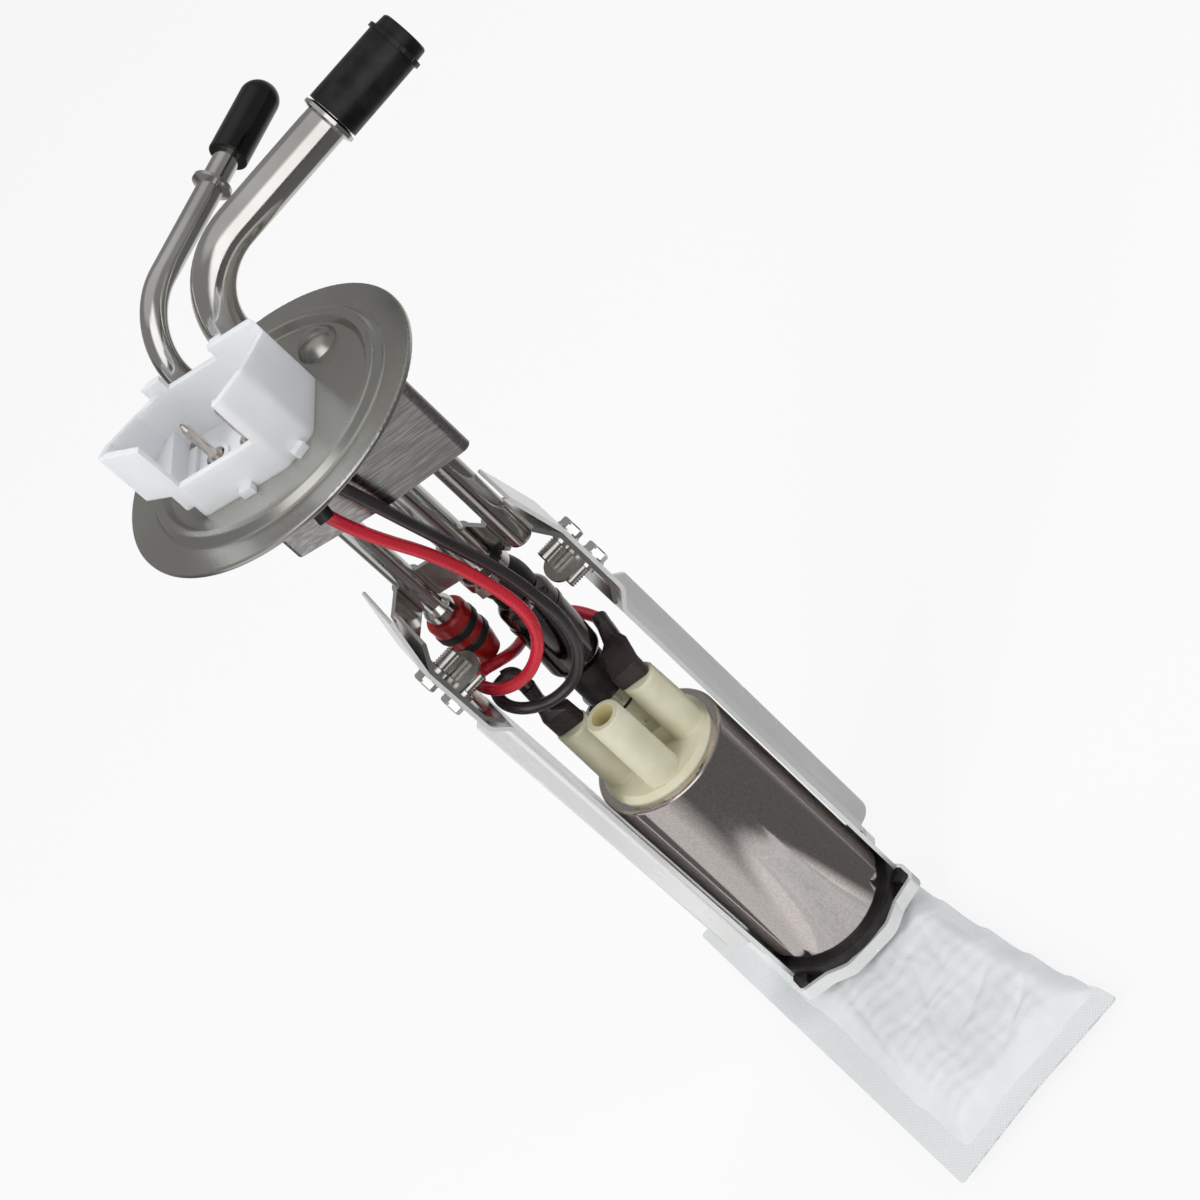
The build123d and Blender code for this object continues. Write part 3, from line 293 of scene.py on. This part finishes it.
# Pump can: drawn steel under a dark, bright nickel plate.
# Its two ends are rolled over.
dark_nickel = new_finish("dark_nickel", metallic=1.0)
mottle(dark_nickel, pattern(dark_nickel, 1600, detail=3), (0.56, 0.51, 0.485), (0.68, 0.63, 0.605))
polish(dark_nickel, pattern(dark_nickel, 700, detail=2), 0.07, 0.12)
relief(dark_nickel, pattern(dark_nickel, 2600, detail=1), 0.000003, 0.05)
dress(dark_nickel, "pump_can")

# Pump cap: a cream acetal moulding with the terminal towers and the outlet, a little
# translucent. The check valve's retainer and the strainer's hub have the same plastic.


def round_patch(tree, centre, radius, start, end):
    """1 along an upright line through a point, falling to 0 within the radius"""
    place = tree.nodes.new("ShaderNodeTexCoord")
    moved = tree.nodes.new("ShaderNodeMapping")
    moved.inputs["Location"].default_value = (-centre[0] / radius, -centre[1] / radius, 0)
    moved.inputs["Scale"].default_value = (1 / radius, 1 / radius, 0)
    ball = tree.nodes.new("ShaderNodeTexGradient")
    ball.gradient_type = "SPHERICAL"
    step = tree.nodes.new("ShaderNodeMapRange")
    step.inputs["From Min"].default_value = start
    step.inputs["From Max"].default_value = end
    tree.links.new(place.outputs["Object"], moved.inputs["Vector"])
    tree.links.new(moved.outputs["Vector"], ball.inputs["Vector"])
    tree.links.new(ball.outputs["Fac"], step.inputs["Value"])
    return step.outputs["Result"]


def colour_mix(tree, share, first, second):
    """two colours mixed by a share; the second may be a socket or a plain colour"""
    mix = tree.nodes.new("ShaderNodeMix")
    mix.data_type = "RGBA"
    tree.links.new(share, mix.inputs["Factor"])
    tree.links.new(first, mix.inputs[MIX_FIRST])
    if isinstance(second, tuple):
        mix.inputs[MIX_SECOND].default_value = second
    else:
        tree.links.new(second, mix.inputs[MIX_SECOND])
    return mix.outputs[MIX_RESULT]


acetal = new_finish("cream_acetal")
mottle(acetal, pattern(acetal, 100, detail=3), (0.70, 0.665, 0.49), (0.78, 0.755, 0.60))
polish(acetal, pattern(acetal, 500, detail=2), 0.28, 0.42)
relief(acetal, pattern(acetal, 700, detail=2), 0.00003, 0.3)
glow = acetal.node_tree.nodes["Principled BSDF"]
glow.inputs["Subsurface Weight"].default_value = 0.3
glow.inputs["Subsurface Radius"].default_value = (1.0, 0.85, 0.5)
glow.inputs["Subsurface Scale"].default_value = 0.001
# painted shade: the inside of the vent tower's hole is tinted darker and yellower than the face, as shade deep
# inside it
bore_centre, bore_radius, bore_shade_colour = (0.00272, -0.00908), 0.0034, (0.74, 0.62, 0.22, 1)
acetal_tree = acetal.node_tree
bore_shade_mask = round_patch(acetal_tree, bore_centre, bore_radius, 0.0, 0.08)
plain = glow.inputs["Base Color"].links[0].from_socket
# the painted shade inside the hole is mixed into the plastic's colour here
acetal_tree.links.new(colour_mix(acetal_tree, bore_shade_mask, plain, bore_shade_colour), glow.inputs["Base Color"])
dress(acetal, "pump_cap", "check_retainer", "strainer_hub")

# Motor and turbine inside the can: copper windings, bronze bearings, laminated iron,
# ferrite magnets and phenolic turbine plates, unseen unless the can is taken off.
copper = new_finish("enamelled_copper", metallic=1.0)
mottle(copper, pattern(copper, 800, (1, 1, 0.3), 3), (0.45, 0.18, 0.08), (0.75, 0.36, 0.18))
polish(copper, pattern(copper, 900, detail=2), 0.25, 0.45)
dress(copper, "armature_windings", "commutator", "pump_terminals")
bronze = new_finish("sintered_bronze", metallic=1.0)
mottle(bronze, pattern(bronze, 1500, detail=3), (0.30, 0.20, 0.08), (0.52, 0.38, 0.18))
polish(bronze, pattern(bronze, 1500, detail=2), 0.35, 0.55)
dress(bronze, "upper_bearing", "lower_bearing")
iron = new_finish("laminated_iron", metallic=1.0)
mottle(iron, pattern(iron, 1500, (0.05, 0.05, 1), 2), (0.20, 0.20, 0.21), (0.42, 0.42, 0.43))
polish(iron, pattern(iron, 900, detail=2), 0.3, 0.5)
dress(iron, "armature_core")
ferrite = new_finish("grey_ferrite", roughness=0.6)
mottle(ferrite, pattern(ferrite, 600, detail=4), (0.05, 0.05, 0.055), (0.10, 0.10, 0.105))
relief(ferrite, pattern(ferrite, 1200, detail=3), 0.00005, 0.5)
dress(ferrite, "field_magnets", "brushes")
phenolic = new_finish("brown_phenolic", roughness=0.45)
mottle(phenolic, pattern(phenolic, 500, detail=4), (0.07, 0.05, 0.035), (0.14, 0.10, 0.07))
relief(phenolic, pattern(phenolic, 900, detail=3), 0.00004, 0.4)
dress(phenolic, "pump_plate", "chamber_ring", "impeller", "inlet_cover")
spring_wire = new_finish("spring_wire", metallic=1.0)
mottle(spring_wire, pattern(spring_wire, 1200, detail=3), (0.45, 0.45, 0.45), (0.65, 0.65, 0.64))
polish(spring_wire, pattern(spring_wire, 900, detail=2), 0.2, 0.35)
dress(spring_wire, "brush_springs", "check_spring")
# the check valve's spring is pressed together from below as the ball lifts, its top against the retainer;
# here it only gets its own copy of the mesh and stays as modelled
coil_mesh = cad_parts["check_spring"].data.copy()
coil = bpy.data.objects.new("check_valve_spring", coil_mesh)
bpy.context.collection.objects.link(coil)
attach(coil, "module")
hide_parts("check_spring")
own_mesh(coil)

# Shipping caps: a moulded matte cap on the large tube, a dipped glossy one on the small.
# Both are pushed on and pull straight off.
moulded_black = new_finish("moulded_black", specular=0.3)
mottle(moulded_black, pattern(moulded_black, 200, detail=4), (0.004, 0.004, 0.004), (0.014, 0.013, 0.013))
polish(moulded_black, pattern(moulded_black, 500, detail=3), 0.26, 0.42)
relief(moulded_black, pattern(moulded_black, 1200, detail=3), 0.00004, 0.5)
dress(moulded_black, "supply_tube_cap")
dipped_vinyl = new_finish("dipped_vinyl")
mottle(dipped_vinyl, pattern(dipped_vinyl, 100, detail=2), (0.002, 0.002, 0.002), (0.006, 0.005, 0.005))
polish(dipped_vinyl, pattern(dipped_vinyl, 300, detail=2), 0.08, 0.18)
relief(dipped_vinyl, pattern(dipped_vinyl, 250, detail=1), 0.0001, 0.3)
dress(dipped_vinyl, "return_tube_cap")

# Strainer: a pouch of white non-woven felt, quilted by rows of weld points and creased where
# it is folded under the pump, inside a flat heat-sealed border of fine mesh.
pouch_level = -0.2388
pouch_height = 0.0053
blank_height = 0.0052
border_height = 0.0007
cloth_pressure, cloth_steps = 4, 20
most_puff, sideways_share = 0.0025, 0.3
pouch_corners = [(-20.6, 37.4), (-14.6, -84.8), (9.5, -81.6), (38.8, -79.8), (36.6, -70.5),
                 (29.2, -23.4), (26.2, 10.0), (23.2, 37.4)]
border_outside = [(-26.5, 42.8), (-20.5, -90.6), (9.0, -86.9), (39.8, -85.4), (38.6, -79.0),
                  (32.0, -65.0), (25.0, -23.4), (23.0, 10.0), (21.5, 42.0)]


def pouch_slab(corners, level, height, rounding):
    """closed slab over an outline given in millimetres, its corners rounded"""
    slab = bmesh.new()
    slab.faces.new([slab.verts.new((x / PER_M, y / PER_M, level)) for x, y in corners])
    bmesh.ops.bevel(slab, geom=slab.verts[:], affect="VERTICES", offset=rounding, segments=4, profile=0.5,
                    material=-1)
    grown = bmesh.ops.extrude_face_region(slab, geom=slab.faces[:], use_keep_orig=True)
    top = [item for item in grown["geom"] if isinstance(item, bmesh.types.BMVert)]
    bmesh.ops.translate(slab, verts=top, vec=(0, 0, height))
    bmesh.ops.recalc_face_normals(slab, faces=slab.faces[:])
    return slab


def applied(piece):
    """the piece's mesh as its modifiers leave it"""
    bpy.context.view_layer.update()
    mesh = bpy.data.meshes.new_from_object(piece.evaluated_get(bpy.context.evaluated_depsgraph_get()))
    piece.modifiers.clear()
    piece.data = mesh
    return mesh


def rim_distance(x, y):
    """how far a point lies inside the pouch's outline, in millimetres"""
    nearest = 100.0
    for (ax, ay), (bx, by) in zip(pouch_corners, pouch_corners[1:] + pouch_corners[:1]):
        run = ((x - ax) * (bx - ax) + (y - ay) * (by - ay)) / ((bx - ax) ** 2 + (by - ay) ** 2)
        run = min(1.0, max(0.0, run))
        nearest = min(nearest, ((x - ax - run * (bx - ax)) ** 2 + (y - ay - run * (by - ay)) ** 2) ** 0.5)
    return nearest


blank = pouch_slab(pouch_corners, pouch_level - blank_height / 2, blank_height, 0.003)
pouch_mesh = bpy.data.meshes.new("strainer_pouch")
blank.to_mesh(pouch_mesh)
blank.free()
sock = bpy.data.objects.new("strainer_pouch", pouch_mesh)
bpy.context.collection.objects.link(sock)
remesh = sock.modifiers.new("even_weave", "REMESH")
remesh.mode = "VOXEL"
remesh.voxel_size = 0.0026
slack = applied(sock)
rest = [vert.co.copy() for vert in slack.vertices]
cloth = sock.modifiers.new("puff", "CLOTH")
cloth.settings.use_pressure = True
cloth.settings.uniform_pressure_force = cloth_pressure
cloth.settings.effector_weights.gravity = 0
for step in range(1, cloth_steps + 1):
    bpy.context.scene.frame_set(step)
puffed = applied(sock)
for vert, start in zip(puffed.vertices, rest):
    move = vert.co - start
    if move.length > most_puff:
        move *= most_puff / move.length
    vert.co = start + Vector((move.x * sideways_share, move.y * sideways_share, move.z))
bpy.context.scene.frame_set(1)
finer = sock.modifiers.new("finer", "SUBSURF")
finer.levels = 2
finer.render_levels = 2
shaped = applied(sock)

# The rim is pinched thin by the seal. Weld points sit in diagonal rows about 3.5 mm apart,
# folds fan out from the pump, and the fibre swells a little unevenly between them.
rim_width = 9.0
weld_pitch, weld_depth = 4.9, 0.2
fold_depth, fold_reach = 1.2, 3.2
folds = [((19, -22), (14, -44)), ((24, -18), (27, -46)), ((12, -26), (2, -52)), ((-8, -20), (-12, -60)),
         ((30, -60), (12, -72)), ((4, -60), (24, -48))]
for vert in shaped.vertices:
    x, y, z = (c * PER_M for c in vert.co)
    inside = min(1.0, rim_distance(x, y) / rim_width)
    lift = (z - pouch_level * PER_M) * (0.10 + 0.90 * (1 - (1 - inside) ** 2.2))
    drift = 4.5 * noise.noise(Vector((x, y, 9)) / 9.0)
    skew = 4.0 * noise.noise(Vector((y, x, 5)) / 12.0)
    wave = cos((x + y + drift) * pi / weld_pitch) * cos((x - y - skew) * pi / weld_pitch)
    sink = 0.9 - weld_depth * wave - 0.35 * noise.noise(Vector((x, y, z)) / 6.0)
    sink -= 0.9 * noise.noise(Vector((x, y, z)) / 22.0)
    for (ax, ay), (bx, by) in folds:
        along_x, along_y = bx - ax, by - ay
        run = max(0.0, min(1.0, ((x - ax) * along_x + (y - ay) * along_y) / (along_x ** 2 + along_y ** 2)))
        away = ((x - ax - run * along_x) ** 2 + (y - ay - run * along_y) ** 2) ** 0.5
        sink += fold_depth * sin(pi * min(0.95, max(0.1, run))) * max(0.0, 1 - away / fold_reach) ** 2
    lift -= (1 if lift > 0 else -1) * sink * inside
    vert.co.z = pouch_level + min(pouch_height, max(-pouch_height, lift / PER_M))

border = pouch_slab(border_outside, pouch_level - border_height / 2, border_height, 0.0012)
border_mesh = bpy.data.meshes.new("border")
border.to_mesh(border_mesh)
border.free()
whole = bmesh.new()
whole.from_mesh(shaped)
felt_faces = len(whole.faces)
whole.from_mesh(border_mesh)
whole.faces.ensure_lookup_table()
for face in whole.faces[felt_faces:]:
    face.material_index = 1
for face in whole.faces[:felt_faces]:
    face.smooth = True
sock.data.materials.clear()
felt = new_finish("white_felt", roughness=0.9, specular=0.2)
mottle(felt, pattern(felt, 60, detail=4), (0.78, 0.80, 0.81), (0.85, 0.865, 0.875))
relief(felt, pattern(felt, 900, detail=5), 0.0002, 0.5)
seal = new_finish("sealed_mesh", roughness=0.6, specular=0.3)
weave = seal.node_tree.nodes.new("ShaderNodeTexBrick")
weave.inputs["Color1"].default_value = (0.89, 0.90, 0.90, 1)
weave.inputs["Color2"].default_value = (0.85, 0.865, 0.865, 1)
weave.inputs["Mortar"].default_value = (0.72, 0.735, 0.74, 1)
weave.inputs["Scale"].default_value = 1000
weave.inputs["Brick Width"].default_value = 1.1
weave.inputs["Row Height"].default_value = 0.6
weave.inputs["Mortar Size"].default_value = 0.14
weave.inputs["Mortar Smooth"].default_value = 0.5
along = seal.node_tree.nodes.new("ShaderNodeTexCoord")
seal.node_tree.links.new(along.outputs["Object"], weave.inputs["Vector"])
seal.node_tree.links.new(weave.outputs["Color"], seal.node_tree.nodes["Principled BSDF"].inputs["Base Color"])
sock.data.materials.append(felt)
sock.data.materials.append(seal)
whole.to_mesh(shaped)
whole.free()
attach(sock, "module")
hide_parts("strainer_sock")

# Floor: one sheet of white paper that keeps the object's shadow. Polished metal mirrors
# something that the camera doesn't see: two pale cards with dark gaps between, fanned out
# round the object, and one white disc close in front.
floor_mesh = bpy.data.meshes.new("floor")
grid = bmesh.new()
bmesh.ops.create_grid(grid, x_segments=1, y_segments=1, size=4.0)
bmesh.ops.translate(grid, verts=grid.verts, vec=(0, 0, cad_low[2] - 0.0005))
grid.to_mesh(floor_mesh)
grid.free()
floor = bpy.data.objects.new("floor", floor_mesh)
bpy.context.collection.objects.link(floor)


def tone_band(tree, around, stops):
    """greys that change with the direction round the upright axis, as a colour socket"""
    fan = tree.nodes.new("ShaderNodeTexGradient")
    fan.gradient_type = "RADIAL"
    band = tree.nodes.new("ShaderNodeValToRGB")
    while len(band.color_ramp.elements) < len(stops):
        band.color_ramp.elements.new(0.5)
    for stop, (place, tone) in zip(band.color_ramp.elements, stops):
        stop.position = place
        stop.color = (tone, tone, tone, 1)
    tree.links.new(around, fan.inputs["Vector"])
    tree.links.new(fan.outputs["Fac"], band.inputs["Fac"])
    return band.outputs["Color"]


def shader_mix(tree, share, first, second):
    """two shaders mixed by a share, as a shader socket"""
    mix = tree.nodes.new("ShaderNodeMixShader")
    tree.links.new(share, mix.inputs["Fac"])
    tree.links.new(first, mix.inputs[1])
    tree.links.new(second, mix.inputs[2])
    return mix.outputs["Shader"]


def part_of(tree, value, share):
    """a value times a plain number"""
    times = tree.nodes.new("ShaderNodeMath")
    times.operation = "MULTIPLY"
    times.inputs[1].default_value = share
    tree.links.new(value, times.inputs[0])
    return times.outputs[0]


paper = bpy.data.materials.new("white_paper")
paper.use_nodes = True
paper_tree = paper.node_tree
matte = paper_tree.nodes["Principled BSDF"]
matte.inputs["Base Color"].default_value = (0.80, 0.80, 0.80, 1)
matte.inputs["Roughness"].default_value = 0.9
white_light = paper_tree.nodes.new("ShaderNodeEmission")
white_light.inputs["Strength"].default_value = 1.0
on_floor = paper_tree.nodes.new("ShaderNodeTexCoord")
fanned = tone_band(paper_tree, on_floor.outputs["Object"],
                   [(0.00, 0.7), (0.10, 0.7), (0.20, 0.1), (0.50, 0.1), (0.60, 0.7), (0.80, 0.7), (0.90, 0.1)])
front_disc = round_patch(paper_tree, (-0.003, -0.055), 0.1, 0.46, 0.60)
cards = paper_tree.nodes.new("ShaderNodeEmission")
cards.inputs["Strength"].default_value = 1.0
paper_tree.links.new(colour_mix(paper_tree, front_disc, fanned, (0.9, 0.9, 0.9, 1)), cards.inputs["Color"])
seen = paper_tree.nodes.new("ShaderNodeLightPath")
to_the_eye = shader_mix(paper_tree, part_of(paper_tree, seen.outputs["Is Camera Ray"], 0.85),
                        matte.outputs["BSDF"], white_light.outputs["Emission"])
mirrored = shader_mix(paper_tree, part_of(paper_tree, seen.outputs["Is Glossy Ray"], 0.95),
                      to_the_eye, cards.outputs["Emission"])
paper_tree.links.new(mirrored, paper_tree.nodes["Material Output"].inputs["Surface"])
floor_mesh.materials.append(paper)

# Studio: white to the eye, a soft grey dome to everything matte, and in polished metal
# a room with one tall window of light in front and a dim wall behind.
world = bpy.data.worlds.new("studio")
bpy.context.scene.world = world
world.use_nodes = True
sky = world.node_tree
dome = sky.nodes["Background"]
dome.inputs["Strength"].default_value = 0.5
white_room = sky.nodes.new("ShaderNodeBackground")
white_room.inputs["Color"].default_value = (1, 1, 1, 1)
white_room.inputs["Strength"].default_value = 1.0
way = sky.nodes.new("ShaderNodeTexCoord")
split = sky.nodes.new("ShaderNodeSeparateXYZ")
shade = sky.nodes.new("ShaderNodeValToRGB")
shade.color_ramp.elements[0].position = 0.0
shade.color_ramp.elements[0].color = (0.35, 0.36, 0.37, 1)
shade.color_ramp.elements[1].position = 0.9
shade.color_ramp.elements[1].color = (0.95, 0.97, 1.0, 1)
sky.links.new(way.outputs["Generated"], split.inputs["Vector"])
sky.links.new(split.outputs["Z"], shade.inputs["Fac"])
sky.links.new(shade.outputs["Color"], dome.inputs["Color"])
wall = tone_band(sky, way.outputs["Generated"], [(0.00, 0.15), (0.12, 0.15), (0.16, 0.8), (0.28, 0.8), (0.32, 0.15)])
ceiling_starts = sky.nodes.new("ShaderNodeMapRange")
ceiling_starts.inputs["From Min"].default_value = 0.70
ceiling_starts.inputs["From Max"].default_value = 0.85
sky.links.new(split.outputs["Z"], ceiling_starts.inputs["Value"])
room = sky.nodes.new("ShaderNodeBackground")
room.inputs["Strength"].default_value = 1.75
sky.links.new(colour_mix(sky, ceiling_starts.outputs["Result"], wall, (0.3, 0.3, 0.3, 1)), room.inputs["Color"])
ray = sky.nodes.new("ShaderNodeLightPath")
polished = shader_mix(sky, ray.outputs["Is Glossy Ray"], dome.outputs["Background"], room.outputs["Background"])
either = shader_mix(sky, ray.outputs["Is Camera Ray"], polished, white_room.outputs["Background"])
sky.links.new(either, sky.nodes["World Output"].inputs["Surface"])

# Lamps: four soft panels, hidden from polished metal. The camera stands well back with a
# long lens and looks down across the object.


def softbox(name, stand, target, width, height, power):
    """a rectangular lamp at one point, aimed at another"""
    light = bpy.data.lights.new(name, "AREA")
    light.shape = "RECTANGLE"
    light.size = width
    light.size_y = height
    light.energy = power
    lamp = bpy.data.objects.new(name, light)
    bpy.context.collection.objects.link(lamp)
    aim = Vector(target) - Vector(stand)
    lamp.matrix_world = Matrix.Translation(stand) @ aim.to_track_quat("-Z", "Y").to_matrix().to_4x4()
    lamp.visible_glossy = False


softbox("key", (-0.55, -0.55, 0.6), (0, 0, -0.1), 0.4, 0.8, 4.5)
softbox("fill", (0.7, -0.5, 0.25), (0, 0, -0.1), 0.35, 0.8, 2.2)
softbox("top", (0.1, 0.35, 0.8), (0, 0, -0.1), 0.7, 0.45, 3.0)
softbox("side", (-0.75, -0.3, 0.05), (0, 0, -0.12), 0.5, 0.5, 1.5)

camera_stand = (0.0231, -0.5966, 0.3358)
camera_down, camera_roll = radians(36.14), radians(-46.57)
camera = bpy.data.cameras.new("camera")
camera.lens = 90
camera.sensor_width = 36
camera.clip_start = 0.01
eye = bpy.data.objects.new("camera", camera)
bpy.context.collection.objects.link(eye)
eye.matrix_world = (Matrix.Translation(camera_stand) @ Matrix.Rotation(pi / 2 - camera_down, 4, "X")
                    @ Matrix.Rotation(camera_roll, 4, "Z"))
bpy.context.scene.camera = eye
bpy.context.scene.view_settings.view_transform = "Standard"
